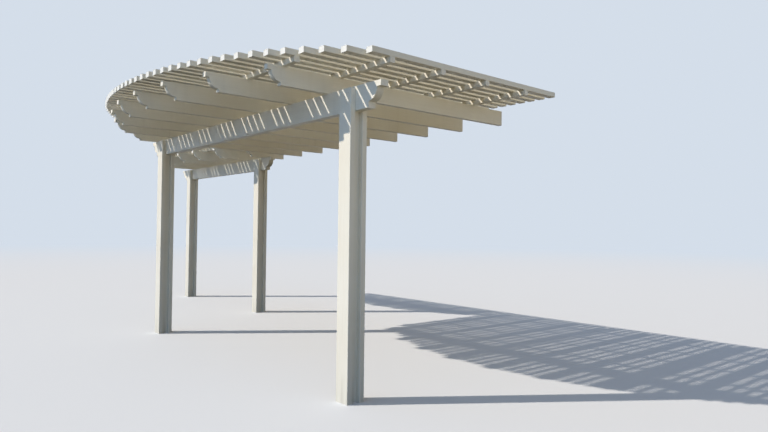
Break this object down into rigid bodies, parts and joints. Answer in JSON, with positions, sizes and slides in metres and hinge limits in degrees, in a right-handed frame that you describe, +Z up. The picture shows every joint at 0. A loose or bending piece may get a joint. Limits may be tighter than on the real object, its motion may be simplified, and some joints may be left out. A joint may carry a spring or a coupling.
{
  "type": "pergola with two bowed fronts",
  "caption": "Slatted patio pergola with parallel headers on posts of plates and cores, corbel-cut rafters on two bowed fronts, purlins and slats.",
  "frame": {"origin": "on the ground under the middle of the whole outline", "axes": "+X along the headers from the far rear section to the near front section, +Y across them to the house, +Z up"},
  "size_m": [9.3334, 3.6146, 2.962],
  "materials": {
    "cream_paint": "satin embossed paint on roll-formed members"
  },
  "bodies": {
    "root": {"front_far_post_core": "cream_paint", "front_far_post_house_plate": "cream_paint", "front_far_post_yard_plate": "cream_paint", "front_header": "cream_paint", "front_near_post_core": "cream_paint", "front_near_post_house_plate": "cream_paint", "front_near_post_yard_plate": "cream_paint", "front_purlin_1": "cream_paint", "front_purlin_2": "cream_paint", "front_purlin_3": "cream_paint", "front_purlin_4": "cream_paint", "front_rafter_1": "cream_paint", "front_rafter_2": "cream_paint", "front_rafter_3": "cream_paint", "front_rafter_4": "cream_paint", "front_rafter_5": "cream_paint", "front_rafter_6": "cream_paint", "front_rafter_7": "cream_paint", "front_rafter_8": "cream_paint", "front_slats_1": "cream_paint", "front_slats_2": "cream_paint", "front_slats_3": "cream_paint", "front_slats_4": "cream_paint", "front_slats_5": "cream_paint", "front_slats_6": "cream_paint", "long_purlin_far": "cream_paint", "long_purlin_near": "cream_paint", "rear_far_post_core": "cream_paint", "rear_far_post_house_plate": "cream_paint", "rear_far_post_yard_plate": "cream_paint", "rear_header": "cream_paint", "rear_near_post_core": "cream_paint", "rear_near_post_house_plate": "cream_paint", "rear_near_post_yard_plate": "cream_paint", "rear_purlin": "cream_paint", "rear_rafter_1": "cream_paint", "rear_rafter_2": "cream_paint", "rear_rafter_3": "cream_paint", "rear_rafter_4": "cream_paint", "rear_rafter_5": "cream_paint", "rear_rafter_6": "cream_paint", "rear_slats_1": "cream_paint", "rear_slats_2": "cream_paint", "rear_slats_3": "cream_paint", "rear_slats_4": "cream_paint"}
  },
  "joints": []
}
